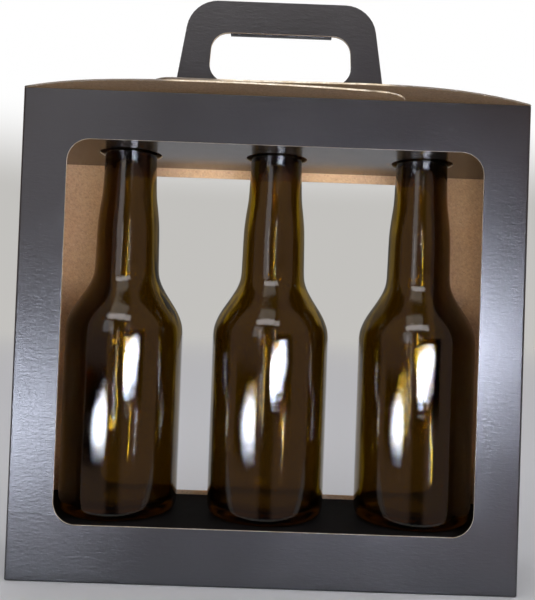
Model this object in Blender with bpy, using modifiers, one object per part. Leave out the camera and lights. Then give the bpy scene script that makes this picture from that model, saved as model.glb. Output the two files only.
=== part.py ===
# Cardboard carrier for three bottles: a tall tube of creased board with a window front and
# rear, a raised platform and a neck shelf inside it, a carrying handle of two layers, and two
# long end flaps whose slots slip over the handle and lock the top.
# Metres, +Z up, the front faces -Y, the origin is at the middle of the base.

import math

import bmesh
import bpy
import numpy as np
from mathutils import Vector

# Board and fits
BOARD = 0.0008
CREASE_GAP = 0.0003
HINGE_LIFT = 0.0003
QUARTER_TURN = math.pi / 2
CUT_OVERRUN = 0.02

# Bottle
BOTTLE_COUNT = 3
BOTTLE_DIAMETER = 0.061
BOTTLE_HEIGHT = 0.2105
BOTTLE_SPACING = 0.0166
SHOULDER_LENGTH = 0.0305
LOWER_NECK_DIAMETER = 0.0338
LOWER_NECK_LENGTH = 0.0255
NECK_WAIST_DIAMETER = 0.0322
NECK_TAPER_LENGTH = 0.020
UPPER_NECK_DIAMETER = 0.0282
UPPER_NECK_LENGTH = 0.0248
NECK_TOP_DIAMETER = 0.0268
FINISH_HEIGHT = 0.016
FINISH_BEAD_DIAMETER = 0.0280
FINISH_BEAD_HEIGHT = 0.005
LIP_DIAMETER = 0.0266
LIP_HEIGHT = 0.006
LIP_ROUND = 0.0012
GLASS_WALL = 0.0032
MOUTH_BORE_DIAMETER = 0.0176
BASE_THICKNESS = 0.005
BASE_CORNER_RADIUS = 0.0055
PUNT_DEPTH = 0.003
PUNT_RIM_WIDTH = 0.007
BOTTLE_STEPS = 32
SHOULDER_STEPS = 8
CORNER_STEPS = 4

# Room round the bottles
END_ROOM = 0.0151
FACE_ROOM = 0.0027
HEAD_ROOM = 0.0007
SEAT_GAP = 0.0003
PLATFORM_HEIGHT = 0.0275

# Windows
FRONT_WINDOW_SIDE_MARGIN = 0.02225
WINDOW_TOP_MARGIN = 0.0242
WINDOW_CORNER_RADIUS = 0.011
REAR_WINDOW_SIDE_MARGIN = 0.0295
REAR_WINDOW_STRIP = 0.0046
REAR_WINDOW_SILL = 0.0023
WINDOW_CORNER_STEPS = 6

# Inserts
INSERT_END_ROOM = 0.0014
SHELF_ABOVE_WINDOW = 0.0004
NECK_HOLE_CLEARANCE = 0.0022
NECK_HOLE_POINTS = 32

# Bottom
DUST_FLAP_LENGTH = 0.050
GLUE_FLAP_WIDTH = 0.015
GLUE_FLAP_TOP_MARGIN = 0.003

# Roof flaps under the locking flaps
ROOF_RISE = 0.002
ROOF_END_INSET = 0.0025
ROOF_RIDGE_INSET = 0.0165

# Handle
LAYER_GAP = 0.0003
HANDLE_TOP_ABOVE_WALL = 0.0603
HANDLE_FOOT_WIDTH = 0.1152
HANDLE_TOP_WIDTH = 0.0968
HANDLE_CORNER_RADIUS = 0.017
HANDLE_FOOT_BAR = 0.0156
HANDLE_SIDE_BAR_LOW = 0.0168
HANDLE_SIDE_BAR_HIGH = 0.0142
GRIP_BAR_HEIGHT = 0.0170
HAND_HOLE_RADIUS = 0.0095
HANDLE_CORNER_STEPS = 8

# Grip flap, folded back round the rear layer
GRIP_FLAP_SIDE_CLEARANCE = 0.0004
GRIP_FLAP_TOP_MARGIN = 0.006

# Locking flaps
LOCK_FLAP_END_MARGIN = 0.006
LOCK_FLAP_CORNER_RADIUS = 0.012
LOCK_FLAP_STEPS = 22
LOCK_SLOT_END_CLEARANCE = 0.0004
LOCK_SLOT_CLEARANCE = 0.00085
LOWER_FLAP_RISE = 0.0059
UPPER_FLAP_RISE = 0.0074
RISE_DEGREE = 5
# Height of each bowed flap's underside along its length, as shares of its length and of its rise
LOWER_FLAP_SHARES = (
    (0.0, 0.0),
    (0.10, 0.53),
    (0.18, 0.76),
    (0.26, 0.89),
    (0.40, 1.0),
    (0.54, 0.98),
    (0.76, 0.88),
    (0.90, 0.70),
    (1.0, 0.54),
)
UPPER_FLAP_SHARES = (
    (0.0, 0.0),
    (0.12, 0.56),
    (0.20, 0.80),
    (0.28, 0.93),
    (0.38, 0.98),
    (0.49, 1.0),
    (0.70, 0.94),
    (0.84, 0.93),
    (1.0, 0.95),
)

# Worked out from the sizes above
BOTTLE_PITCH = BOTTLE_DIAMETER + BOTTLE_SPACING
INNER_WIDTH = (BOTTLE_COUNT - 1) * BOTTLE_PITCH + BOTTLE_DIAMETER + 2 * END_ROOM
INNER_DEPTH = BOTTLE_DIAMETER + 2 * FACE_ROOM
CARTON_WIDTH = INNER_WIDTH + 2 * BOARD
CARTON_DEPTH = INNER_DEPTH + 2 * BOARD
BOTTLE_BASE = PLATFORM_HEIGHT + SEAT_GAP
WALL_HEIGHT = BOTTLE_BASE + BOTTLE_HEIGHT + HEAD_ROOM
WINDOW_TOP = WALL_HEIGHT - WINDOW_TOP_MARGIN
SHELF_UNDERSIDE = WINDOW_TOP + SHELF_ABOVE_WINDOW
HALF_DEPTH_INSIDE = INNER_DEPTH / 2 - CREASE_GAP
INSERT_HALF_LENGTH = INNER_WIDTH / 2 - INSERT_END_ROOM
LAYER_OFFSET = (LAYER_GAP + BOARD) / 2
STACK_HALF = LAYER_GAP / 2 + BOARD
RIDGE_FOOT = WALL_HEIGHT - BOARD + ROOF_RISE
HANDLE_TOP = WALL_HEIGHT + HANDLE_TOP_ABOVE_WALL
HAND_HOLE_TOP = HANDLE_TOP - GRIP_BAR_HEIGHT
HAND_HOLE_LOW = RIDGE_FOOT + HANDLE_FOOT_BAR
LOCK_SLOT_HALF = HANDLE_FOOT_WIDTH / 2 + LOCK_SLOT_END_CLEARANCE
LOCK_FLAP_LENGTH = CARTON_WIDTH / 2 + LOCK_SLOT_HALF + LOCK_FLAP_END_MARGIN
STACK_STEP = BOARD + CREASE_GAP


def clear_scene():
    for old in list(bpy.data.objects):
        bpy.data.objects.remove(old, do_unlink=True)


def new_collection(name):
    made = bpy.data.collections.new(name)
    bpy.context.scene.collection.children.link(made)
    return made


def new_material(name, colour, roughness, metallic=0.0):
    made = bpy.data.materials.new(name)
    made.use_nodes = True
    shader = made.node_tree.nodes["Principled BSDF"]
    shader.inputs["Base Color"].default_value = (*colour, 1.0)
    shader.inputs["Roughness"].default_value = roughness
    shader.inputs["Metallic"].default_value = metallic
    return made


def rounded_outline(corners):
    """Points of a closed outline. Each corner is (x, y, radius, steps); radius 0 keeps it sharp."""
    points = []
    for index, (x, y, radius, steps) in enumerate(corners):
        here = Vector((x, y))
        if radius == 0:
            points.append(here)
            continue
        before = Vector(corners[index - 1][:2])
        after = Vector(corners[(index + 1) % len(corners)][:2])
        to_before = (before - here).normalized()
        to_after = (after - here).normalized()
        half_angle = to_before.angle(to_after) / 2
        centre = here + (to_before + to_after).normalized() * radius / math.sin(half_angle)
        reach = radius / math.tan(half_angle)
        start = here + to_before * reach - centre
        end = here + to_after * reach - centre
        sweep = start.angle_signed(end)
        for step in range(steps + 1):
            turn = -sweep * step / steps
            spun = Vector(
                (
                    start.x * math.cos(turn) - start.y * math.sin(turn),
                    start.x * math.sin(turn) + start.y * math.cos(turn),
                )
            )
            points.append(centre + spun)
    return points


def rectangle(left, right, low, high, radius=0.0, steps=WINDOW_CORNER_STEPS):
    return rounded_outline(
        [
            (left, low, radius, steps),
            (right, low, radius, steps),
            (right, high, radius, steps),
            (left, high, radius, steps),
        ]
    )


def circle(x, y, radius, count):
    turns = [2 * math.pi * index / count for index in range(count)]
    return [Vector((x + radius * math.cos(turn), y + radius * math.sin(turn))) for turn in turns]


def plate_mesh(name, outlines, thickness):
    """A flat plate in local XY, centred on its middle plane: the first outline, less the others."""
    flat = bpy.data.curves.new(name, "CURVE")
    flat.dimensions = "2D"
    flat.fill_mode = "BOTH"
    flat.extrude = thickness / 2
    for outline in outlines:
        spline = flat.splines.new("POLY")
        spline.points.add(len(outline) - 1)
        for point, place in zip(spline.points, outline):
            point.co = (place.x, place.y, 0, 1)
        spline.use_cyclic_u = True
    holder = bpy.data.objects.new(name + "_outline", flat)
    bpy.context.scene.collection.objects.link(holder)
    depsgraph = bpy.context.evaluated_depsgraph_get()
    mesh = bpy.data.meshes.new_from_object(holder.evaluated_get(depsgraph))
    mesh.name = name
    bpy.data.objects.remove(holder, do_unlink=True)
    welded = bmesh.new()
    welded.from_mesh(mesh)
    bmesh.ops.remove_doubles(welded, verts=welded.verts, dist=BOARD / 100)
    bmesh.ops.recalc_face_normals(welded, faces=welded.faces)
    welded.to_mesh(mesh)
    welded.free()
    return mesh


def add_object(name, mesh, material, collection, location=(0, 0, 0), rotation=(0, 0, 0)):
    made = bpy.data.objects.new(name, mesh)
    made.location = location
    made.rotation_euler = rotation
    made.data.materials.clear()
    made.data.materials.append(material)
    collection.objects.link(made)
    return made


def horizontal(name, outlines, middle_height, material):
    mesh = plate_mesh(name, outlines, BOARD)
    return add_object(name, mesh, material, parts, (0, 0, middle_height))


def facing_front(name, outlines, middle_y, material):
    """An upright plate across the carton: local X and Y become X and Z."""
    mesh = plate_mesh(name, outlines, BOARD)
    return add_object(name, mesh, material, parts, (0, middle_y, 0), (QUARTER_TURN, 0, 0))


def facing_side(name, outlines, middle_x, material):
    """An upright plate along the carton's depth: local X and Y become Y and Z."""
    mesh = plate_mesh(name, outlines, BOARD)
    rotation = (QUARTER_TURN, 0, QUARTER_TURN)
    return add_object(name, mesh, material, parts, (middle_x, 0, 0), rotation)


def bottle_places():
    middle = (BOTTLE_COUNT - 1) / 2
    return [(index - middle) * BOTTLE_PITCH for index in range(BOTTLE_COUNT)]


def make_walls():
    half = CARTON_WIDTH / 2
    middle_y = (INNER_DEPTH + BOARD) / 2
    front_half = half - FRONT_WINDOW_SIDE_MARGIN
    rear_half = half - REAR_WINDOW_SIDE_MARGIN
    front_window = rectangle(
        -front_half, front_half, PLATFORM_HEIGHT, WINDOW_TOP, WINDOW_CORNER_RADIUS
    )
    rear_window = rectangle(
        -rear_half,
        rear_half,
        PLATFORM_HEIGHT + REAR_WINDOW_SILL,
        WINDOW_TOP - REAR_WINDOW_STRIP,
        WINDOW_CORNER_RADIUS,
    )
    face = rectangle(-half, half, 0, WALL_HEIGHT)
    facing_front("front_panel", [face, front_window], -middle_y, black_board)
    facing_front("rear_panel", [face, rear_window], middle_y, black_board)
    side = rectangle(-HALF_DEPTH_INSIDE, HALF_DEPTH_INSIDE, 0, WALL_HEIGHT - HINGE_LIFT)
    middle_x = (INNER_WIDTH + BOARD) / 2
    facing_side("left_side_panel", [side], -middle_x, black_board)
    facing_side("right_side_panel", [side], middle_x, black_board)
    glue_low = 3 * STACK_STEP
    glue_high = WALL_HEIGHT - GLUE_FLAP_TOP_MARGIN
    glue = rectangle(HALF_DEPTH_INSIDE - GLUE_FLAP_WIDTH, HALF_DEPTH_INSIDE, glue_low, glue_high)
    facing_side("glue_flap", [glue], STACK_STEP - middle_x, kraft_board)


def make_bottom():
    half = INNER_WIDTH / 2 - CREASE_GAP
    whole = rectangle(-half, half, -HALF_DEPTH_INSIDE, HALF_DEPTH_INSIDE)
    horizontal("bottom_flap_front", [whole], BOARD / 2, black_board)
    horizontal("bottom_flap_rear", [whole], BOARD / 2 + STACK_STEP, kraft_board)
    dust_height = BOARD / 2 + 2 * STACK_STEP
    left = rectangle(-half, DUST_FLAP_LENGTH - half, -HALF_DEPTH_INSIDE, HALF_DEPTH_INSIDE)
    right = rectangle(half - DUST_FLAP_LENGTH, half, -HALF_DEPTH_INSIDE, HALF_DEPTH_INSIDE)
    horizontal("bottom_flap_left", [left], dust_height, kraft_board)
    horizontal("bottom_flap_right", [right], dust_height, kraft_board)


def make_platform():
    half = INSERT_HALF_LENGTH
    top = rectangle(-half, half, -HALF_DEPTH_INSIDE, HALF_DEPTH_INSIDE)
    horizontal("bottle_platform", [top], PLATFORM_HEIGHT - BOARD / 2, black_board)
    leg_high = PLATFORM_HEIGHT - STACK_STEP
    leg = rectangle(-half, half, 3 * STACK_STEP, leg_high)
    leg_y = HALF_DEPTH_INSIDE - BOARD / 2
    facing_front("platform_front_leg", [leg], -leg_y, black_board)
    facing_front("platform_rear_leg", [leg], leg_y, black_board)


def make_neck_shelf():
    half = INSERT_HALF_LENGTH
    hole_radius = UPPER_NECK_DIAMETER / 2 + NECK_HOLE_CLEARANCE
    outline = rectangle(-half, half, -HALF_DEPTH_INSIDE, HALF_DEPTH_INSIDE)
    holes = [circle(x, 0, hole_radius, NECK_HOLE_POINTS) for x in bottle_places()]
    horizontal("neck_shelf", [outline, *holes], SHELF_UNDERSIDE + BOARD / 2, black_board)
    flange_low = SHELF_UNDERSIDE + STACK_STEP
    flange_high = WALL_HEIGHT - STACK_STEP
    flange = rectangle(-half, half, flange_low, flange_high)
    flange_y = HALF_DEPTH_INSIDE - BOARD / 2
    facing_front("neck_shelf_front_flange", [flange], -flange_y, kraft_board)
    facing_front("neck_shelf_rear_flange", [flange], flange_y, kraft_board)


def make_roof_flaps():
    """The front and rear flaps that carry the handle, sloping up to the ridge."""
    run = HALF_DEPTH_INSIDE - STACK_HALF - CREASE_GAP
    slope = math.atan2(ROOF_RISE, run)
    length = run / math.cos(slope)
    foot = CARTON_WIDTH / 2 - ROOF_END_INSET
    ridge = CARTON_WIDTH / 2 - ROOF_RIDGE_INSET
    outline = rounded_outline(
        [(-foot, 0, 0, 0), (foot, 0, 0, 0), (ridge, length, 0, 0), (-ridge, length, 0, 0)]
    )
    middle_height = WALL_HEIGHT - BOARD / 2
    for name, side, turn in (("front_roof_flap", -1, 0), ("rear_roof_flap", 1, 2 * QUARTER_TURN)):
        mesh = plate_mesh(name, [outline], BOARD)
        location = (0, side * HALF_DEPTH_INSIDE, middle_height)
        add_object(name, mesh, black_board, parts, location, (slope, 0, turn))


def handle_half_width(height):
    share = (height - RIDGE_FOOT) / (HANDLE_TOP - RIDGE_FOOT)
    return (HANDLE_FOOT_WIDTH + (HANDLE_TOP_WIDTH - HANDLE_FOOT_WIDTH) * share) / 2


def hand_hole_top_half():
    return handle_half_width(HAND_HOLE_TOP) - HANDLE_SIDE_BAR_HIGH


def make_handle():
    foot = HANDLE_FOOT_WIDTH / 2
    top = HANDLE_TOP_WIDTH / 2
    outline = rounded_outline(
        [
            (-foot, RIDGE_FOOT, 0, 0),
            (foot, RIDGE_FOOT, 0, 0),
            (top, HANDLE_TOP, HANDLE_CORNER_RADIUS, HANDLE_CORNER_STEPS),
            (-top, HANDLE_TOP, HANDLE_CORNER_RADIUS, HANDLE_CORNER_STEPS),
        ]
    )
    low_half = handle_half_width(HAND_HOLE_LOW) - HANDLE_SIDE_BAR_LOW
    high_half = hand_hole_top_half()
    hole = rounded_outline(
        [
            (-low_half, HAND_HOLE_LOW, HAND_HOLE_RADIUS, HANDLE_CORNER_STEPS),
            (low_half, HAND_HOLE_LOW, HAND_HOLE_RADIUS, HANDLE_CORNER_STEPS),
            (high_half, HAND_HOLE_TOP, HAND_HOLE_RADIUS, HANDLE_CORNER_STEPS),
            (-high_half, HAND_HOLE_TOP, HAND_HOLE_RADIUS, HANDLE_CORNER_STEPS),
        ]
    )
    facing_front("handle_front_layer", [outline, hole], -LAYER_OFFSET, black_board)
    facing_front("handle_rear_layer", [outline, hole], LAYER_OFFSET, black_board)


def make_grip_flap():
    """Bent board: back under the rear layer and up behind it, turning on the hand hole's top edge."""
    back = 2 * STACK_HALF + STACK_STEP
    drop = -CREASE_GAP
    high = GRIP_BAR_HEIGHT - GRIP_FLAP_TOP_MARGIN
    width = 2 * (hand_hole_top_half() - HAND_HOLE_RADIUS - GRIP_FLAP_SIDE_CLEARANCE)
    profile = rounded_outline(
        [
            (0, drop - BOARD, 0, 0),
            (back, drop - BOARD, 0, 0),
            (back, high, 0, 0),
            (back - BOARD, high, 0, 0),
            (back - BOARD, drop, 0, 0),
            (0, drop, 0, 0),
        ]
    )
    mesh = plate_mesh("grip_flap", [profile], width)
    location = (0, -STACK_HALF, HAND_HOLE_TOP)
    rotation = (QUARTER_TURN, 0, QUARTER_TURN)
    add_object("grip_flap", mesh, black_board, parts, location, rotation)


def bowed_sheet(name, length, rise, shares, direction):
    """A sheet from its crease at x = 0 to its free end, bowed in one direction, thickened upward."""
    along, up = zip(*shares)
    bow = np.polynomial.Polynomial.fit(along, up, RISE_DEGREE)
    sheet = bmesh.new()
    bmesh.ops.create_grid(sheet, x_segments=LOCK_FLAP_STEPS, y_segments=1, size=1)
    for vert in sheet.verts:
        share = (vert.co.x + 1) / 2
        height = rise * max(float(bow(share) - bow(0) * (1 - share)), 0)
        vert.co = (direction * share * length, vert.co.y * HALF_DEPTH_INSIDE, height)
    if direction < 0:
        bmesh.ops.reverse_faces(sheet, faces=sheet.faces)
    mesh = bpy.data.meshes.new(name)
    sheet.to_mesh(mesh)
    sheet.free()
    return mesh


def make_lock_flap(name, direction, rise, shares):
    """direction 1 is creased to the left side panel and runs right; -1 is the other way round."""
    crease_x = -direction * CARTON_WIDTH / 2
    mesh = bowed_sheet(name, LOCK_FLAP_LENGTH, rise, shares, direction)
    flap = add_object(name, mesh, black_board, parts, (crease_x, 0, WALL_HEIGHT))
    thickness = flap.modifiers.new("board", "SOLIDIFY")
    thickness.thickness = BOARD
    thickness.offset = 1.0

    end = direction * LOCK_FLAP_LENGTH
    start = -direction * CUT_OVERRUN
    side = HALF_DEPTH_INSIDE
    blank = rounded_outline(
        [
            (start, -side, 0, 0),
            (end, -side, LOCK_FLAP_CORNER_RADIUS, WINDOW_CORNER_STEPS),
            (end, side, LOCK_FLAP_CORNER_RADIUS, WINDOW_CORNER_STEPS),
            (start, side, 0, 0),
        ]
    )
    slot_front = -STACK_HALF - LOCK_SLOT_CLEARANCE
    slot_rear = STACK_HALF + STACK_STEP + LOCK_SLOT_CLEARANCE
    slot = rectangle(
        -crease_x - LOCK_SLOT_HALF, LOCK_SLOT_HALF - crease_x, slot_front, slot_rear
    )
    blank_mesh = plate_mesh(name + "_blank", [blank, slot], 2 * CUT_OVERRUN)
    cutter = add_object(name + "_blank", blank_mesh, black_board, cutters)
    cutter.parent = flap
    cutter.hide_render = True
    cutter.display_type = "WIRE"
    trim = flap.modifiers.new("trim", "BOOLEAN")
    trim.operation = "INTERSECT"
    trim.solver = "EXACT"
    trim.object = cutter


def outer_bottle_profile():
    """(radius, height) from the lip down the outside to the base's middle."""
    lip = LIP_DIAMETER / 2
    bead = FINISH_BEAD_DIAMETER / 2
    neck_top = NECK_TOP_DIAMETER / 2
    body = BOTTLE_DIAMETER / 2
    points = [
        (lip - LIP_ROUND, BOTTLE_HEIGHT),
        (lip, BOTTLE_HEIGHT - LIP_ROUND),
        (lip, BOTTLE_HEIGHT - LIP_HEIGHT),
        (lip - LIP_ROUND, BOTTLE_HEIGHT - LIP_HEIGHT - LIP_ROUND),
        (bead, BOTTLE_HEIGHT - FINISH_HEIGHT + FINISH_BEAD_HEIGHT),
        (bead, BOTTLE_HEIGHT - FINISH_HEIGHT + LIP_ROUND),
        (neck_top, BOTTLE_HEIGHT - FINISH_HEIGHT),
    ]
    height = BOTTLE_HEIGHT - FINISH_HEIGHT - UPPER_NECK_LENGTH
    points.append((UPPER_NECK_DIAMETER / 2, height))
    height -= NECK_TAPER_LENGTH
    points.append((NECK_WAIST_DIAMETER / 2, height))
    height -= LOWER_NECK_LENGTH
    neck = LOWER_NECK_DIAMETER / 2
    for step in range(SHOULDER_STEPS + 1):
        share = step / SHOULDER_STEPS
        swell = (1 - math.cos(math.pi * share)) / 2
        points.append((neck + (body - neck) * swell, height - SHOULDER_LENGTH * share))
    for step in range(CORNER_STEPS + 1):
        turn = QUARTER_TURN * step / CORNER_STEPS
        inset = BASE_CORNER_RADIUS * (1 - math.cos(turn))
        rise = BASE_CORNER_RADIUS * (1 - math.sin(turn))
        points.append((body - inset, rise))
    punt_edge = body - BASE_CORNER_RADIUS - PUNT_RIM_WIDTH
    points.append((punt_edge, 0))
    points.append((punt_edge / 2, PUNT_DEPTH))
    points.append((0, PUNT_DEPTH))
    return points


def inner_bottle_profile():
    """(radius, height) from the middle of the inside floor up the inside to the lip."""
    floor = BASE_THICKNESS
    body = BOTTLE_DIAMETER / 2 - GLASS_WALL
    neck = LOWER_NECK_DIAMETER / 2 - GLASS_WALL
    bore = MOUTH_BORE_DIAMETER / 2
    shoulder_top = BOTTLE_HEIGHT - FINISH_HEIGHT - UPPER_NECK_LENGTH
    shoulder_top -= NECK_TAPER_LENGTH + LOWER_NECK_LENGTH
    points = [(0, floor), (body - BASE_CORNER_RADIUS, floor)]
    points.append((body, floor + BASE_CORNER_RADIUS))
    for step in range(SHOULDER_STEPS + 1):
        share = step / SHOULDER_STEPS
        swell = (1 + math.cos(math.pi * share)) / 2
        height = shoulder_top - SHOULDER_LENGTH * (1 - share)
        points.append((neck + (body - neck) * swell, height))
    points.append((NECK_WAIST_DIAMETER / 2 - GLASS_WALL, shoulder_top + LOWER_NECK_LENGTH))
    neck_start = shoulder_top + LOWER_NECK_LENGTH + NECK_TAPER_LENGTH
    points.append((UPPER_NECK_DIAMETER / 2 - GLASS_WALL, neck_start))
    points.append((bore, BOTTLE_HEIGHT - FINISH_HEIGHT))
    points.append((bore, BOTTLE_HEIGHT - LIP_ROUND))
    points.append((bore + LIP_ROUND, BOTTLE_HEIGHT))
    return points


def make_bottles():
    profile = inner_bottle_profile() + outer_bottle_profile()
    mesh = bpy.data.meshes.new("bottle")
    verts = [(radius, 0, height) for radius, height in profile]
    edges = [(index, index + 1) for index in range(len(verts) - 1)]
    mesh.from_pydata(verts, edges, [])
    for name, x in zip(("bottle_left", "bottle_middle", "bottle_right"), bottle_places()):
        bottle = add_object(name, mesh, amber_glass, parts, (x, 0, BOTTLE_BASE))
        turned = bottle.modifiers.new("turned", "SCREW")
        turned.axis = "Z"
        turned.steps = BOTTLE_STEPS
        turned.render_steps = BOTTLE_STEPS
        turned.use_merge_vertices = True
        turned.merge_threshold = BOARD / 100
        turned.use_smooth_shade = True


clear_scene()
parts = new_collection("bottle_carrier")
cutters = new_collection("cutters")
black_board = new_material("black_board", (0.065, 0.065, 0.075), 0.42)
kraft_board = new_material("kraft_board", (0.36, 0.22, 0.13), 0.85)
amber_glass = new_material("amber_glass", (0.09, 0.045, 0.01), 0.06)

make_walls()
make_bottom()
make_platform()
make_neck_shelf()
make_roof_flaps()
make_handle()
make_grip_flap()
make_lock_flap("left_lock_flap", 1, LOWER_FLAP_RISE, LOWER_FLAP_SHARES)
make_lock_flap("right_lock_flap", -1, UPPER_FLAP_RISE, UPPER_FLAP_SHARES)
make_bottles()
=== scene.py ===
import math

import bmesh
import bpy
from mathutils import Matrix, Vector, geometry


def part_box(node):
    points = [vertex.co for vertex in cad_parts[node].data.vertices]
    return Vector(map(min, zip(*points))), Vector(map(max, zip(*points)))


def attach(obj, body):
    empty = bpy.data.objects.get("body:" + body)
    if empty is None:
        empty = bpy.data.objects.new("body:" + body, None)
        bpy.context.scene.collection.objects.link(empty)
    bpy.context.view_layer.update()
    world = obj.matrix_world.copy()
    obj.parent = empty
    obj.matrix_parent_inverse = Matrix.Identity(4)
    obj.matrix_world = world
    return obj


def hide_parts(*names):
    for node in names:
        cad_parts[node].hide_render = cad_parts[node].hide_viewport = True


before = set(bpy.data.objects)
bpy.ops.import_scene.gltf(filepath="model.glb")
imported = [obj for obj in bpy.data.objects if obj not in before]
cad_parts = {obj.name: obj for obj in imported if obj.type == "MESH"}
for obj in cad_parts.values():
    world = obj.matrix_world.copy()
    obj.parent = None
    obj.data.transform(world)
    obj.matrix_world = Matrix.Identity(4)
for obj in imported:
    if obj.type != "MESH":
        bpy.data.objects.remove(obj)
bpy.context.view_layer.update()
print("frame loaded:", len(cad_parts), "nodes")


class Wire:  # a socket of a material, on which sums are written
    def __init__(self, tree, socket=None):
        self.tree = tree
        self.socket = socket

    def node(self, kind, settings=None, sockets=None, out=0):
        made = self.tree.nodes.new("ShaderNode" + kind)
        for name, value in (settings or {}).items():
            setattr(made, name, value)
        return Wire(self.tree, self.feed(made, sockets or {}).outputs[out])

    def feed(self, made, sockets):
        for name, value in sockets.items():
            if isinstance(value, Wire):
                self.tree.links.new(value.socket, made.inputs[name])
            else:
                made.inputs[name].default_value = value
        return made

    def sum(self, operation, *values):
        return self.node("Math", {"operation": operation}, dict(enumerate(values)))

    def __add__(self, other):
        return self.sum("ADD", self, other)

    def __sub__(self, other):
        return self.sum("SUBTRACT", self, other)

    def __rsub__(self, other):
        return self.sum("SUBTRACT", other, self)

    def __mul__(self, other):
        return self.sum("MULTIPLY", self, other)

    def __lt__(self, other):
        return self.sum("LESS_THAN", self, other)

    def __gt__(self, other):
        return self.sum("GREATER_THAN", self, other)

    __radd__ = __add__

    def between(self, low, high):  # 0 at low, 1 at high, smooth in the middle
        sockets = {"Value": self, "From Min": low, "From Max": high}
        return self.node("MapRange", {"interpolation_type": "SMOOTHSTEP"}, sockets)

    def blend(self, first, second):  # this wire is the share of the second colour
        return self.node("Mix", {"data_type": "RGBA"}, {0: self, 6: first, 7: second}, out=2)

    def part(self, axis):
        return self.node("SeparateXYZ", sockets={0: self}, out=axis)

    def length(self):
        return self.node("VectorMath", {"operation": "LENGTH"}, {0: self}, out="Value")

    def scaled(self, scale):
        return self.node("Mapping", sockets={"Vector": self, "Scale": scale})

    def turned(self, turn):
        return self.node("Mapping", sockets={"Vector": self, "Rotation": turn})

    def noise(self, scale=1.0, detail=2.0, roughness=0.5, distortion=0.0):
        sockets = {"Vector": self, "Scale": scale, "Detail": detail}
        sockets.update({"Roughness": roughness, "Distortion": distortion})
        return self.node("TexNoise", sockets=sockets)

    def bump(self, distance):
        return self.node("Bump", sockets={"Height": self, "Distance": distance})


def newFinish(name):
    made = bpy.data.materials.new(name)
    made.use_nodes = True
    wire = Wire(made.node_tree)
    return made, wire, made.node_tree.nodes["Principled BSDF"]


# In the finishes, scales are waves per metre, heights are metres, and a pair that ends in From
# holds the noise values at which a tone begins and is full.
blackBoard = {
    "ink": (0.0045, 0.004, 0.0048, 1),
    "wornInk": (0.008, 0.0075, 0.0085, 1),
    "wearScale": 22.0,
    "wornFrom": (0.35, 0.7),
    "roughness": 0.32,
    "grainRoughness": 0.08,
    "wornRoughness": 0.1,
    "shine": 0.6,
    "grainAlong": 230,
    "grainAcross": 800,
    "fineGrain": 5,  # waves of the fine grain on one wave of the grain
    "fineHeight": 0.3,  # as a share of the grain's
    "grainHeight": 0.00009,
    "speck": (0.42, 0.42, 0.43, 1),
    "specksPerMetre": 60,
    "speckSize": 0.019,  # as a share of the way between two specks
    "speckPatches": 9.0,
    "patchesOver": 0.5,
}


def blackFinish(name, across):  # across: the axis over which the grain's lines are stacked
    made, wire, shader = newFinish(name)
    place = wire.node("TexCoord", out="Object")
    scale = [blackBoard["grainAlong"]] * 3
    scale[across] = blackBoard["grainAcross"]
    grain = place.scaled(scale).noise(detail=3.0, roughness=0.55, distortion=0.6)
    fine = place.scaled([part * blackBoard["fineGrain"] for part in scale]).noise()
    wear = place.noise(blackBoard["wearScale"], 3.0)
    cells = {"Vector": place, "Scale": blackBoard["specksPerMetre"]}
    speckle = wire.node("TexVoronoi", {"distance": "EUCLIDEAN"}, cells)
    patches = place.noise(blackBoard["speckPatches"]) > blackBoard["patchesOver"]
    specks = (speckle < blackBoard["speckSize"]) * patches
    ink = wear.between(*blackBoard["wornFrom"]).blend(blackBoard["ink"], blackBoard["wornInk"])
    rough = blackBoard["roughness"] + (grain - 0.5) * blackBoard["grainRoughness"]
    rough = rough + (wear - 0.5) * blackBoard["wornRoughness"]
    wire.feed(
        shader,
        {
            "Base Color": specks.blend(ink, blackBoard["speck"]),
            "Roughness": rough,
            "Specular IOR Level": blackBoard["shine"],
            "Normal": (grain + fine * blackBoard["fineHeight"]).bump(blackBoard["grainHeight"]),
        },
    )
    return made


kraftBoard = {
    "pulp": (0.57, 0.365, 0.203, 1),
    "darkFibre": (0.30, 0.175, 0.09, 1),
    "darkFibreFrom": (0.45, 0.75),
    "paleFibre": (0.68, 0.50, 0.33, 1),
    "paleFibreFrom": (0.52, 0.78),
    "fibreShare": 0.7,
    "roughness": 0.82,
    "fibreGloss": 0.12,
    "fibreTurn": (0.75, 0.6, 0.4),  # radians, so that no wall lies along the fibres
    "fibreAlong": 130,
    "fibreAcross": 1100,
    "paleHeight": 0.6,  # of the pale fibres, as a share of the dark ones'
    "fibreHeight": 0.00004,
    "clouds": 30.0,
    "mottle": 650,
    "stainFrom": (0.4, 0.65),
    "stainShare": 0.35,
}


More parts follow.
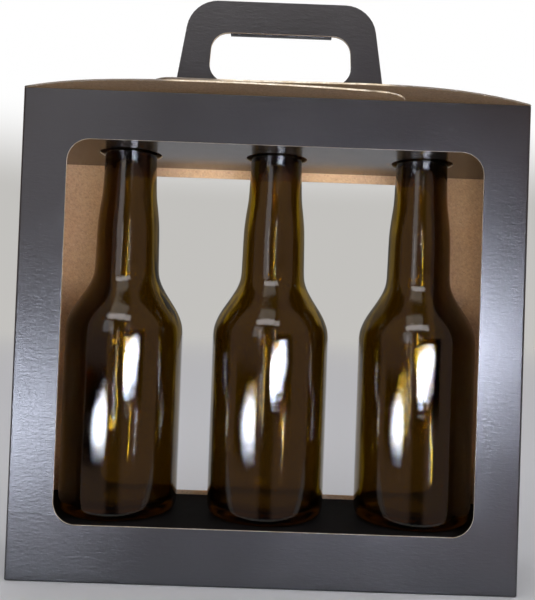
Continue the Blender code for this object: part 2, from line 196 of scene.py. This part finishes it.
def kraftFinish():
    made, wire, shader = newFinish("kraftLiner")
    place = wire.node("TexCoord", out="Object")
    along, across = kraftBoard["fibreAlong"], kraftBoard["fibreAcross"]
    share = kraftBoard["fibreShare"]
    slanted = place.turned(kraftBoard["fibreTurn"])
    darkFibres = slanted.scaled((across, across, along)).noise(1.0, 4.0, 0.6, 0.8)
    paleFibres = slanted.scaled((across, along, across)).noise(1.0, 3.0, 0.6, 0.8)
    clouds = place.noise(kraftBoard["clouds"], 3.0)
    mottle = place.noise(kraftBoard["mottle"], 3.0)
    stains = clouds * 0.5 + mottle * 0.5
    dark = darkFibres.between(*kraftBoard["darkFibreFrom"]) * share
    pale = paleFibres.between(*kraftBoard["paleFibreFrom"]) * share
    stained = stains.between(*kraftBoard["stainFrom"]) * kraftBoard["stainShare"]
    pulp = dark.blend(kraftBoard["pulp"], kraftBoard["darkFibre"])
    pulp = pale.blend(pulp, kraftBoard["paleFibre"])
    height = darkFibres + paleFibres * kraftBoard["paleHeight"]
    wire.feed(
        shader,
        {
            "Base Color": stained.blend(pulp, kraftBoard["darkFibre"]),
            "Roughness": kraftBoard["roughness"] - darkFibres * kraftBoard["fibreGloss"],
            "Normal": height.bump(kraftBoard["fibreHeight"]),
        },
    )
    return made


cutEdge = {
    "core": (0.50, 0.40, 0.28, 1),
    "paleCore": (0.70, 0.62, 0.50, 1),
    "paleFrom": (0.3, 0.75),
    "plies": 900.0,
    "plyHeight": 0.00006,
    "tears": 160.0,
    "roughness": 0.9,
    "plyGloss": 0.1,
    "handled": (0.13, 0.105, 0.08, 1),  # painted shade: the dark tone given to the locking flaps' edges beyond their unshaded stretch
    "shadeFade": 0.010,
    "leftFlapUnshaded": (-0.049, 0.080),  # the stretch of X on which the left flap's edge keeps its own tone; beyond it the edge is painted in shade
    "rightFlapUnshaded": (-0.024, 0.050),
}


def edgeFinish(name, pale=None):
    made, wire, shader = newFinish(name)
    place = wire.node("TexCoord", out="Object")
    plies = place.noise(cutEdge["plies"], 3.0, 0.7)
    torn = place.noise(cutEdge["tears"])
    core = (plies * torn * 2).between(*cutEdge["paleFrom"])
    core = core.blend(cutEdge["core"], cutEdge["paleCore"])
    # beyond the stretch of X given in pale, the cut edge fades to a dark tone: painted shade
    if pale:
        side = place.part("X")
        fade = cutEdge["shadeFade"]
        shaded = side.between(pale[0], pale[0] - fade) + side.between(pale[1], pale[1] + fade)
        core = shaded.blend(core, cutEdge["handled"])
    wire.feed(
        shader,
        {
            "Base Color": core,
            "Roughness": cutEdge["roughness"] - plies * cutEdge["plyGloss"],
            "Normal": plies.bump(cutEdge["plyHeight"]),
        },
    )
    return made


varnishes = {
    "shelf": {"ink": (0.006, 0.006, 0.007, 1), "roughness": 0.20, "shine": 0.95},
    "platform": {"ink": (0.006, 0.005, 0.005, 1), "roughness": 0.62, "shine": 0.04},
    "dusty": (0.016, 0.014, 0.012, 1),
    "dustFrom": (0.62, 0.8),
    "dust": 1300.0,
    "smears": 120.0,
    "smearRoughness": 0.06,
    "waves": 55.0,
    "waveHeight": 0.00012,
}


def varnishFinish(name, ink, roughness, shine):
    made, wire, shader = newFinish(name)
    place = wire.node("TexCoord", out="Object")
    waves = place.noise(varnishes["waves"])
    dust = place.noise(varnishes["dust"])
    wire.feed(
        shader,
        {
            "Base Color": dust.between(*varnishes["dustFrom"]).blend(ink, varnishes["dusty"]),
            "Roughness": roughness + place.noise(varnishes["smears"]) * varnishes["smearRoughness"],
            "Specular IOR Level": shine,
            "Normal": waves.bump(varnishes["waveHeight"]),
        },
    )
    return made


amberGlass = {
    "tint": (0.240, 0.163, 0.020, 1),
    "depthTint": (0.73, 0.64, 0.02, 1),
    "depthDensity": 190.0,  # per metre of glass
    "refraction": 1.5,
    "roughness": 0.02,
    "waveHeight": 0.00060,
    "swells": 70.0,
    "swellStretch": 0.45,  # a swell's or vein's waves upward, as a share of those across
    "swellHeight": 0.35,  # as a share of waveHeight, like the two below
    "veins": 55.0,  # only on the inside of the wall
    "veinStretch": 0.22,
    "veinHeight": 3,
    "pebbles": 1300.0,  # only on the outside
    "pebbleHeight": 0.05,
}


def glassFinish():
    made, wire, shader = newFinish("amberGlass")
    place = wire.node("TexCoord", out="Object")
    inside = wire.node("Attribute", {"attribute_name": "inside"}, out="Fac")
    swells = place.scaled((1, 1, amberGlass["swellStretch"])).noise(amberGlass["swells"])
    veins = place.scaled((1, 1, amberGlass["veinStretch"])).noise(amberGlass["veins"])
    pebbles = place.noise(amberGlass["pebbles"])
    surface = swells * amberGlass["swellHeight"] + veins * inside * amberGlass["veinHeight"]
    surface = surface + pebbles * amberGlass["pebbleHeight"] * (1 - inside)
    wire.feed(
        shader,
        {
            "Base Color": amberGlass["tint"],
            "Roughness": amberGlass["roughness"],
            "IOR": amberGlass["refraction"],
            "Transmission Weight": 1.0,
            "Normal": surface.bump(amberGlass["waveHeight"]),
        },
    )
    depth = {"Color": amberGlass["depthTint"], "Density": amberGlass["depthDensity"]}
    ends = wire.tree.nodes["Material Output"]
    wire.feed(ends, {"Volume": wire.node("VolumeAbsorption", sockets=depth)})
    return made


blackUpright = blackFinish("blackBoardUpright", 2)
blackFlat = blackFinish("blackBoardFlat", 1)
kraftLiner = kraftFinish()
paleEdge = edgeFinish("cutEdge")
# the locking flaps' cut edges carry painted shade beyond a stretch of X
leftFlapEdge = edgeFinish("leftFlapEdge", cutEdge["leftFlapUnshaded"])
rightFlapEdge = edgeFinish("rightFlapEdge", cutEdge["rightFlapUnshaded"])
shelfBlack = varnishFinish("shelfVarnish", **varnishes["shelf"])
platformBlack = varnishFinish("platformVarnish", **varnishes["platform"])
glass = glassFinish()
print("finishes made:", len(bpy.data.materials))


def addPiece(mesh, name, finishes, body, stoodFor, smoothUnder=40):
    data = bpy.data.meshes.new(name)
    mesh.to_mesh(data)
    mesh.free()
    for finish in finishes:
        data.materials.append(finish)
    data.polygons.foreach_set("use_smooth", [True] * len(data.polygons))
    data.set_sharp_from_angle(angle=math.radians(smoothUnder))
    piece = bpy.data.objects.new(name, data)
    bpy.context.scene.collection.objects.link(piece)
    if smoothUnder < 60:  # flat faces stay flat beside their rounded edges
        even = piece.modifiers.new("evenShading", "WEIGHTED_NORMAL")
        even.keep_sharp = True
        even.weight = 100
    if body:
        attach(piece, body)
        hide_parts(*stoodFor)
    return piece


boards = {
    "weld": 0.000002,
    "flatWithin": 0.5,  # degrees, like sharpOver
    "sharpOver": 50,
    "edgeRound": 0.00012,
    "facing": 0.75,  # how far along its way a black or a kraft face looks
}


def nodeMesh(node):
    mesh = bmesh.new()
    mesh.from_mesh(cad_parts[node].data)
    bmesh.ops.remove_doubles(mesh, verts=mesh.verts, dist=boards["weld"])
    return mesh


def joinFlatFaces(mesh):
    bmesh.ops.dissolve_limit(
        mesh, angle_limit=math.radians(boards["flatWithin"]), verts=mesh.verts, edges=mesh.edges
    )


def sharpEdges(mesh, degrees=boards["sharpOver"]):
    return [edge for edge in mesh.edges if edge.calc_face_angle(0) > math.radians(degrees)]


def roundEdges(mesh, edges, radius, segments=2):
    bmesh.ops.bevel(
        mesh, geom=edges, affect="EDGES", offset=radius, segments=segments, profile=0.5, material=-1
    )


def dressBoard(node, blackWay, black):
    mesh = nodeMesh(node)
    joinFlatFaces(mesh)
    roundEdges(mesh, sharpEdges(mesh), boards["edgeRound"])
    limit = boards["facing"]
    for face in mesh.faces:
        facing = face.normal.dot(Vector(blackWay))
        face.material_index = 0 if facing > limit else 1 if facing < -limit else 2
    name = "".join(word if n == 0 else word.title() for n, word in enumerate(node.split("_")))
    addPiece(mesh, name + "Board", [black, kraftLiner, paleEdge], "carton", [node])


cartonBoards = {  # the way that each board's black side looks
    "bottom_flap_front": ((0, 0, -1), blackFlat),
    "bottom_flap_rear": ((0, 0, -1), blackFlat),
    "bottom_flap_left": ((0, 0, -1), blackFlat),
    "bottom_flap_right": ((0, 0, -1), blackFlat),
    "glue_flap": ((-1, 0, 0), blackUpright),
    "front_roof_flap": ((0, 0, 1), blackFlat),
    "rear_roof_flap": ((0, 0, 1), blackFlat),
    "handle_front_layer": ((0, -1, 0), blackUpright),
    "handle_rear_layer": ((0, 1, 0), blackUpright),
    "neck_shelf": ((0, 0, -1), shelfBlack),
    "neck_shelf_front_flange": ((0, -1, 0), shelfBlack),
    "neck_shelf_rear_flange": ((0, 1, 0), shelfBlack),
    "bottle_platform": ((0, 0, 1), platformBlack),
    "platform_front_leg": ((0, -1, 0), platformBlack),
    "platform_rear_leg": ((0, 1, 0), platformBlack),
}
for node, (blackWay, black) in cartonBoards.items():
    dressBoard(node, blackWay, black)
print("flat boards dressed:", len(cartonBoards))


walls = {
    "board": 0.0008,
    "creaseRadius": 0.0014,
    "creaseSteps": 6,
    "topRound": 0.0006,
    "topSteps": 4,
    "hingeLift": 0.00015,
    "frontWindow": (0.20350, 0.0275, 0.2148),  # width, bottom, top
    "rearWindow": (0.18900, 0.0298, 0.2102),
    "windowCorner": 0.011,
    "windowSteps": 12,
    "cutterReach": 0.05,
    "cutOver": 70,  # degrees
    "level": 0.0001,  # how near the walls' top or foot an edge of their rim lies
    "rimBand": 0.0005,  # how near their outer face
    "cutMargin": 0.001,  # how far from top and foot the windows' edges stay
    "sideBand": 0.003,  # how near a side wall's face its corners lie
}
wallFinishes = [blackUpright, kraftLiner, paleEdge]


def outwardness(face):
    return face.normal.dot(face.calc_center_median() * Vector((1, 1, 0)))


def foldSheet(width, depth, height):  # one sheet round the four walls, creased at the corners
    sheet = bmesh.new()
    bmesh.ops.create_grid(sheet, x_segments=1, y_segments=1, size=1)
    bmesh.ops.scale(sheet, vec=(width / 2, depth / 2, 1), verts=sheet.verts)
    bmesh.ops.bevel(
        sheet, geom=sheet.verts[:], affect="VERTICES", offset=walls["creaseRadius"],
        segments=walls["creaseSteps"], profile=0.5, material=-1,
    )
    rim = sheet.edges[:]
    bmesh.ops.delete(sheet, geom=sheet.faces[:], context="FACES_ONLY")
    grown = bmesh.ops.extrude_edge_only(sheet, edges=rim)["geom"]
    grown = [part for part in grown if isinstance(part, bmesh.types.BMVert)]
    bmesh.ops.translate(sheet, vec=(0, 0, height), verts=grown)
    bmesh.ops.recalc_face_normals(sheet, faces=sheet.faces)
    if sum(outwardness(face) for face in sheet.faces) < 0:
        bmesh.ops.reverse_faces(sheet, faces=sheet.faces[:])
    bmesh.ops.solidify(sheet, geom=sheet.faces[:], thickness=walls["board"])
    bmesh.ops.recalc_face_normals(sheet, faces=sheet.faces)
    for face in sheet.faces:
        face.material_index = 0 if outwardness(face) > 0 or abs(face.normal.z) > 0.5 else 1
    return addPiece(sheet, "wallsUncut", wallFinishes, None, [])


def windowCutter(name, near, far):  # a rounded block that runs along Y through one wall
    width, low, high = walls[name]
    block = bmesh.new()
    bmesh.ops.create_cube(block, size=1)
    bmesh.ops.scale(block, vec=(width, far - near, high - low), verts=block.verts)
    bmesh.ops.translate(block, vec=(0, (near + far) / 2, (low + high) / 2), verts=block.verts)
    corners = [
        edge for edge in block.edges
        if abs(edge.verts[0].co.y - edge.verts[1].co.y) > (far - near) / 2
    ]
    roundEdges(block, corners, walls["windowCorner"], walls["windowSteps"])
    for face in block.faces:
        face.material_index = 2
    return addPiece(block, name, wallFinishes, None, [])


def carve(piece, cutters):
    for cutter in cutters:
        cut = piece.modifiers.new("cut", "BOOLEAN")
        cut.operation = "DIFFERENCE"
        cut.solver = "EXACT"
        cut.object = cutter
    ready = piece.evaluated_get(bpy.context.evaluated_depsgraph_get())
    mesh = bmesh.new()
    mesh.from_mesh(ready.data)
    for done in [piece, *cutters]:
        bpy.data.objects.remove(done, do_unlink=True)
    return mesh


def softenWalls(mesh, width, depth, height):
    level = walls["level"]
    rim = []
    for edge in sharpEdges(mesh):
        a, b = edge.verts[0].co, edge.verts[1].co
        middle = (a + b) / 2
        atSide = abs(middle.x) > width / 2 - walls["rimBand"]
        atFace = abs(middle.y) > depth / 2 - walls["rimBand"]
        atEnd = a.z < level or a.z > height - level
        if abs(a.z - b.z) < level and atEnd and (atSide or atFace):
            rim.append(edge)
    roundEdges(mesh, rim, walls["topRound"], walls["topSteps"])
    margin = walls["cutMargin"]
    cuts = [
        edge for edge in sharpEdges(mesh, walls["cutOver"])
        if margin < edge.verts[0].co.z < height - margin
    ]
    roundEdges(mesh, cuts, boards["edgeRound"])
    for vert in mesh.verts:  # the side walls stop just under the locking flaps' creases
        if abs(vert.co.x) > width / 2 - walls["sideBand"] and vert.co.z > height - level:
            vert.co.z = height - walls["hingeLift"]


def makeWalls():
    low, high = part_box("front_panel")
    width, depth, height = high.x - low.x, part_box("rear_panel")[1].y - low.y, high.z
    tube = foldSheet(width, depth, height)
    reach = walls["cutterReach"]
    cutters = [windowCutter("frontWindow", -reach, 0.0), windowCutter("rearWindow", 0.0, reach)]
    mesh = carve(tube, cutters)
    softenWalls(mesh, width, depth, height)
    stoodFor = ["front_panel", "rear_panel", "left_side_panel", "right_side_panel"]
    addPiece(mesh, "cartonWalls", wallFinishes, "carton", stoodFor)


makeWalls()
print("walls folded")


lockFlaps = {
    "creaseRound": 0.0006,
    "creaseSteps": 4,
    "creaseBand": 0.0006,  # how near the wall an edge of the crease lies
    "creaseAbove": 0.0004,  # how far over the flap's lowest point
    "creaseLength": 0.001,  # how long it is at least
    "blackBand": 0.0008,  # how far the black side goes round the crease
    "facing": 0.6,
}


def lockFlap(node, name, side, flapEdge):  # side: which way along X its crease lies
    mesh = nodeMesh(node)
    wall = max(vert.co.x * side for vert in mesh.verts)
    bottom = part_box(node)[0].z
    crease = [
        edge for edge in sharpEdges(mesh)
        if min(vert.co.x * side for vert in edge.verts) > wall - lockFlaps["creaseBand"]
        and min(vert.co.z for vert in edge.verts) > bottom + lockFlaps["creaseAbove"]
        and abs(edge.verts[0].co.y - edge.verts[1].co.y) > lockFlaps["creaseLength"]
    ]
    roundEdges(mesh, crease, lockFlaps["creaseRound"], lockFlaps["creaseSteps"])
    facing = lockFlaps["facing"]
    for face in mesh.faces:
        atCrease = face.calc_center_median().x * side > wall - lockFlaps["blackBand"]
        up = face.normal.z
        isBlack = up > facing or (atCrease and up > -facing)
        face.material_index = 0 if isBlack else 1 if up < -facing else 2
    addPiece(mesh, name, [blackFlat, kraftLiner, flapEdge], node, [node])


lockFlap("left_lock_flap", "leftLockFlapBoard", -1, leftFlapEdge)
lockFlap("right_lock_flap", "rightLockFlapBoard", 1, rightFlapEdge)


handFlap = {
    "foldRound": 0.00045,
    "foldSteps": 4,
    "foldBand": 0.0004,  # how near the flap's lowest level an edge of the fold lies
    "foldLength": 0.01,  # how long it is at least
    "topBand": 0.0001,
    "facing": 0.6,
}


def gripFlap():
    mesh = nodeMesh("grip_flap")
    joinFlatFaces(mesh)
    low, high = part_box("grip_flap")
    folds = []
    for edge in sharpEdges(mesh):
        a, b = edge.verts[0].co, edge.verts[1].co
        if abs(a.x - b.x) > handFlap["foldLength"] and max(a.z, b.z) < low.z + handFlap["foldBand"]:
            folds.append(edge)
    roundEdges(mesh, folds, handFlap["foldRound"], handFlap["foldSteps"])
    facing = handFlap["facing"]
    for face in mesh.faces:
        middle = face.calc_center_median()
        isCut = abs(face.normal.x) > facing or middle.z > high.z - handFlap["topBand"]
        isKraft = face.normal.z > facing or (face.normal.y < -facing and middle.y > 0)
        face.material_index = 2 if isCut else 1 if isKraft else 0
    addPiece(mesh, "gripFlapBoard", wallFinishes, "grip_flap", ["grip_flap"])


gripFlap()
print("moving flaps dressed")


bottle = {  # each line's points: distance from the middle, height above the foot
    "mouth": [
        (0.0088, 0.2085), (0.0090, 0.2098), (0.0099, 0.2105), (0.0114, 0.2104), (0.0126, 0.2098),
        (0.0132, 0.2088), (0.0133, 0.2070), (0.0132, 0.2052), (0.0126, 0.2042), (0.0127, 0.2032),
        (0.0136, 0.2014), (0.0140, 0.1997), (0.0140, 0.1972), (0.0137, 0.1955),
    ],
    "neck": [
        (0.0134, 0.1942), (0.0134, 0.1900), (0.0137, 0.1786), (0.0142, 0.1657), (0.0153, 0.1571),
        (0.0161, 0.1485), (0.0165, 0.1314), (0.0169, 0.1235),
    ],
    "shoulder": [
        (0.0184, 0.1187), (0.0208, 0.1143), (0.0236, 0.1100), (0.0264, 0.1057), (0.0286, 0.1014),
        (0.0300, 0.0971), (0.0305, 0.0925),
    ],
    "heel": [
        (0.0305, 0.0060), (0.0303, 0.0040), (0.0296, 0.0020), (0.0282, 0.0006), (0.0262, 0.0000),
        (0.0236, 0.0000), (0.0222, 0.0006), (0.0185, 0.0022), (0.0090, 0.0030), (0.0, 0.0030),
    ],
    "inside": [
        (0.0, 0.0062), (0.0120, 0.0060), (0.0200, 0.0052), (0.0245, 0.0058), (0.0266, 0.0080),
        (0.0273, 0.0120), (0.0273, 0.0900), (0.0268, 0.0968), (0.0254, 0.1010), (0.0231, 0.1052),
        (0.0203, 0.1094), (0.0176, 0.1136), (0.0153, 0.1180), (0.0140, 0.1228), (0.0134, 0.1310),
        (0.0129, 0.1480), (0.0120, 0.1570), (0.0110, 0.1660), (0.0104, 0.1786), (0.0092, 0.1920),
        (0.0088, 0.1960),
    ],
    "curveSteps": 3,
    "endSteps": 2,  # at the mouth and the heel, whose points lie closer
    "turnSteps": 96,
    "weld": 0.000005,
    "inwardShare": 0.3,
    "innerFloorUnder": 0.02,
    "smoothUnder": 60,
}


def softRun(points, steps):  # a smooth line through the points
    points = [Vector((radius, 0, height)) for radius, height in points]
    run = []
    for index in range(len(points) - 1):
        before, here = points[max(index - 1, 0)], points[index]
        ahead, after = points[index + 1], points[min(index + 2, len(points) - 1)]
        reach = (ahead - here).length / 3
        leave = here + (ahead - before).normalized() * reach
        arrive = ahead - (after - here).normalized() * reach
        run += geometry.interpolate_bezier(here, leave, arrive, ahead, steps + 1)[:-1]
    return run + [points[-1]]


def makeBottle(node, name):
    low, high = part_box(node)
    foot = Vector(((low.x + high.x) / 2, (low.y + high.y) / 2, low.z))
    steps, endSteps = bottle["curveSteps"], bottle["endSteps"]
    line = softRun(bottle["inside"], steps) + softRun(bottle["mouth"], endSteps)
    line += softRun(bottle["neck"] + bottle["shoulder"], steps)
    line += softRun(bottle["heel"], endSteps)
    turned = bmesh.new()
    verts = [turned.verts.new((max(point.x, 0), 0, point.z)) for point in line]
    edges = [turned.edges.new(pair) for pair in zip(verts, verts[1:])]
    bmesh.ops.spin(
        turned, geom=verts + edges, cent=(0, 0, 0), axis=(0, 0, 1), angle=2 * math.pi,
        steps=bottle["turnSteps"], use_merge=True,
    )
    bmesh.ops.remove_doubles(turned, verts=turned.verts, dist=bottle["weld"])
    bmesh.ops.recalc_face_normals(turned, faces=turned.faces)
    inside = turned.faces.layers.float.new("inside")
    for face in turned.faces:
        centre = face.calc_center_median()
        isWall = outwardness(face) < -bottle["inwardShare"] * centre.xy.length
        isFloor = face.normal.z > 0.5 and centre.z < bottle["innerFloorUnder"]
        face[inside] = float(isWall or isFloor)
    bmesh.ops.translate(turned, vec=foot, verts=turned.verts)
    addPiece(turned, name, [glass], node, [node], bottle["smoothUnder"])


for side in ("left", "middle", "right"):
    makeBottle("bottle_" + side, "bottle" + side.title())
print("bottles turned")


studio = {
    "floorSize": 3.0,
    "floorDrop": 0.0002,
    "frontEdge": 0.08,  # the floor's edge, so far in front of the carrier's middle
    "floorFades": (0.5, 4.0),  # metres over which the floor takes the horizon's tone
    "floorRoughness": 0.9,
    "paleFloor": (0.82, 0.82, 0.82, 1),
    "horizon": (0.54, 0.53, 0.51, 1),
    "nearFloor": (0.45, 0.45, 0.465, 1),  # the tone in front of the floor's edge
    "paleAir": (1.0, 1.0, 1.0, 1),
    "roomAbove": (0.62, 0.62, 0.65, 1),
    "roomBelow": (0.12, 0.12, 0.125, 1),
    "glossBehind": (0.20, 0.19, 0.17, 1),
    "glossInFront": (0.05, 0.035, 0.03, 1),
    "glossAside": (0.43, 0.275, 0.205, 1),
    "behind": (-0.3, 0.2),  # along Y: where the room in front ends and the one behind begins
    "aside": (0.12, 0.30),  # along X, to either side
    "pastFloor": (-0.30, -0.06),  # along Z, like those below
    "pastHorizon": (0.15, 0.27),
    "upward": (-0.5, 0.9),
}


def makeFloor():
    mesh = bmesh.new()
    bmesh.ops.create_circle(mesh, cap_ends=True, radius=studio["floorSize"], segments=96)
    middle = (0, studio["floorSize"] - studio["frontEdge"], -studio["floorDrop"])
    bmesh.ops.translate(mesh, vec=middle, verts=mesh.verts)
    made, wire, shader = newFinish("paleFloor")
    far = wire.node("TexCoord", out="Object").length().between(*studio["floorFades"])
    wire.feed(shader, {"Base Color": studio["paleFloor"], "Roughness": studio["floorRoughness"]})
    shine = wire.node("Emission", sockets={"Color": studio["horizon"], "Strength": 1.0})
    share = wire.node("LightPath", out="Is Camera Ray") * far
    diffuse = Wire(wire.tree, shader.outputs[0])
    shown = wire.node("MixShader", sockets={0: share, 1: diffuse, 2: shine})
    wire.feed(wire.tree.nodes["Material Output"], {"Surface": shown})
    addPiece(mesh, "paleFloor", [made], None, [])


def makeAir():
    world = bpy.data.worlds.new("studioAir")
    bpy.context.scene.world = world
    world.use_nodes = True
    wire = Wire(world.node_tree)
    way = wire.node("TexCoord", out="Generated")
    behind = way.part("Y").between(*studio["behind"])
    sideways = way.part("X")
    aside = sideways.sum("ABSOLUTE", sideways).between(*studio["aside"])
    height = way.part("Z")
    low = height.between(*studio["pastFloor"]).blend(studio["nearFloor"], studio["horizon"])
    seen = height.between(*studio["pastHorizon"]).blend(low, studio["paleAir"])
    front = aside.blend(studio["glossInFront"], studio["glossAside"])
    gloss = behind.blend(front, studio["glossBehind"])
    room = height.between(*studio["upward"]).blend(studio["roomBelow"], studio["roomAbove"])
    colour = wire.node("LightPath", out="Is Glossy Ray").blend(room, gloss)
    direct = wire.node("LightPath", out="Is Camera Ray")
    through = wire.node("LightPath", out="Is Transmission Ray")
    shown = direct.sum("MAXIMUM", direct, through).blend(colour, seen)
    wire.feed(world.node_tree.nodes["Background"], {"Color": shown, "Strength": 1.0})


everyRay = ("diffuse", "glossy", "transmission")
mirrored = ("glossy", "transmission")
inWall = ("transmission",)  # seen only inside the glass, as the amber glints of its far wall
lamps = {  # place, aim, width, height, radiance, colour and what sees it
    "topSoftbox": ((-0.15, -0.75, 1.1), (0, 0, 0.15), 0.6, 0.6, 1.1, (1, 0.985, 0.96), everyRay),
    "frontFill": ((0.3, -2.6, -0.15), (0, 0, 0.12), 3.0, 0.3, 34.0, (1, 0.99, 0.97), ("diffuse",)),
    "highCard": ((-0.1, -1.0, 1.02), (0, 0, 0.2), 1.0, 0.3, 4.2, (1, 0.96, 0.98), ("glossy",)),
    "leftHaze": ((-0.45, -1.0, 0.48), (0, 0, 0.2), 0.35, 0.5, 1.5, (0.85, 0.9, 1), ("glossy",)),
    "neckStrip": ((-0.16, -0.45, 0.21), (0, 0, 0.15), 0.03, 0.14, 2.4, (0.93, 0.95, 1), mirrored),
    "middleStrip": ((-0.08, -0.47, 0.10), (0, 0, 0.12), 0.005, 0.20, 9.0, (0.9, 0.95, 1), mirrored),
    "rightGlint": ((0.235, -0.400, -0.004), (0, 0, 0.07), 0.035, 0.06, 1200.0, (1, 1, 1), inWall),
    "leftGlint": ((-0.105, -0.400, 0.058), (0, 0, 0.10), 0.018, 0.07, 1200.0, (1, 1, 1), inWall),
    "neckGlint": ((0.060, -0.400, 0.225), (0, 0, 0.17), 0.015, 0.16, 1100.0, (1, 1, 1), inWall),
}


def addLamp(name, place, aim, width, height, radiance, colour, seenBy):
    lamp = bpy.data.lights.new(name, "AREA")
    lamp.shape = "RECTANGLE"
    lamp.size = width
    lamp.size_y = height
    lamp.energy = radiance * math.pi * width * height
    lamp.color = colour
    stood = bpy.data.objects.new(name, lamp)
    stood.location = place
    stood.rotation_mode = "QUATERNION"
    stood.rotation_quaternion = (Vector(aim) - Vector(place)).to_track_quat("-Z", "Y")
    for ray in ("camera", *everyRay):
        setattr(stood, "visible_" + ray, ray in seenBy)
    bpy.context.scene.collection.objects.link(stood)


cards = {  # bright grained patches that the panel and the bottles mirror
    "rightSheen": {
        "place": (0.180, -0.402, 0.117),
        "aim": (0.07, -0.034, 0.11),
        "size": (0.32, 0.170),
        "radiance": 190.0,
        "colour": (0.77, 0.82, 1, 1),
        "topEdge": 0.015,  # the card is dark above this height over its middle
        "topSlope": 0.11,
        "core": (-0.09, 0.010),  # the grains are densest here
        "spread": (0.19, 0.082),
    },
    "leftSheen": {
        "place": (-0.370, -0.377, 0.024),
        "aim": (-0.111, -0.034, 0.11),
        "size": (0.39, 0.145),
        "radiance": 66.0,
        "colour": (0.77, 0.83, 1, 1),
        "topEdge": 0.014,
        "topSlope": 0.20,
        "core": (0.11, -0.014),
        "spread": (0.21, 0.056),
    },
}
cardGrain = {
    "across": 26,  # per metre of card, so that a bottle mirrors round grains
    "up": 330,
    "topFade": 0.006,
    "litOver": 0.37,  # the noise value over which a grain is lit, at the core
    "thinning": 0.42,
    "thinningFrom": (0.1, 1.5),  # in spreads from the core
    "grainFade": 0.04,
    "dark": (0, 0, 0, 1),
}


def cardShine(name, card):
    made, wire, shader = newFinish(name)
    spot = wire.node("UVMap", {"uv_map": "card"})
    across, up = spot.part("X"), spot.part("Y")
    grains = spot.scaled((cardGrain["across"], cardGrain["up"], 1)).noise()
    below = (card["topEdge"] + across * card["topSlope"] - up).between(0, cardGrain["topFade"])
    core = (*card["core"], 0)
    way = wire.node("VectorMath", {"operation": "SUBTRACT"}, {0: spot, 1: core}, out="Vector")
    away = way.scaled((1 / card["spread"][0], 1 / card["spread"][1], 1)).length()
    thinned = away.between(*cardGrain["thinningFrom"]) * cardGrain["thinning"]
    lit = below * (grains - (cardGrain["litOver"] + thinned)).between(0, cardGrain["grainFade"])
    tone = lit.blend(cardGrain["dark"], card["colour"])
    shine = wire.node("Emission", sockets={"Color": tone, "Strength": card["radiance"]})
    wire.feed(wire.tree.nodes["Material Output"], {"Surface": shine})
    return made


def makeCard(name, card):
    place = Vector(card["place"])
    turn = (place - Vector(card["aim"])).to_track_quat("Z", "Y")
    width, height = card["size"]
    corners = [(x * width / 2, y * height / 2) for x, y in ((-1, -1), (1, -1), (1, 1), (-1, 1))]
    mesh = bmesh.new()
    own = mesh.loops.layers.uv.new("card")
    face = mesh.faces.new([mesh.verts.new(place + turn @ Vector((*spot, 0))) for spot in corners])
    for loop, spot in zip(face.loops, corners):
        loop[own].uv = spot  # metres from the card's middle
    stood = addPiece(mesh, name, [cardShine(name, card)], None, [], 90)
    for ray in ("camera", "diffuse", "shadow", "volume_scatter"):
        setattr(stood, "visible_" + ray, False)


makeFloor()
makeAir()
for name, values in lamps.items():
    addLamp(name, *values)
for name, card in cards.items():
    makeCard(name, card)

camera = {
    "place": (0.0048, -0.3824, 0.1318),
    "turn": 0.277,  # degrees, to the right of straight ahead
    "up": 0.993,
    "roll": 2.030,
    "lens": 43.077,
    "sensor": 36,
    "shift": (-0.0278, 0.0062),
    "nearest": 0.01,
}


def makeCamera():
    lens = bpy.data.cameras.new("photoCamera")
    lens.lens = camera["lens"]
    lens.sensor_width = camera["sensor"]
    lens.shift_x, lens.shift_y = camera["shift"]
    lens.clip_start = camera["nearest"]
    stood = bpy.data.objects.new("photoCamera", lens)
    turn = Matrix.Rotation(-math.radians(camera["turn"]), 4, "Z")
    tilt = Matrix.Rotation(math.radians(90 + camera["up"]), 4, "X")
    roll = Matrix.Rotation(math.radians(camera["roll"]), 4, "Z")
    stood.matrix_world = Matrix.Translation(camera["place"]) @ turn @ tilt @ roll
    bpy.context.scene.collection.objects.link(stood)
    bpy.context.scene.camera = stood


makeCamera()
bpy.context.scene.view_settings.view_transform = "Standard"
print("studio set")
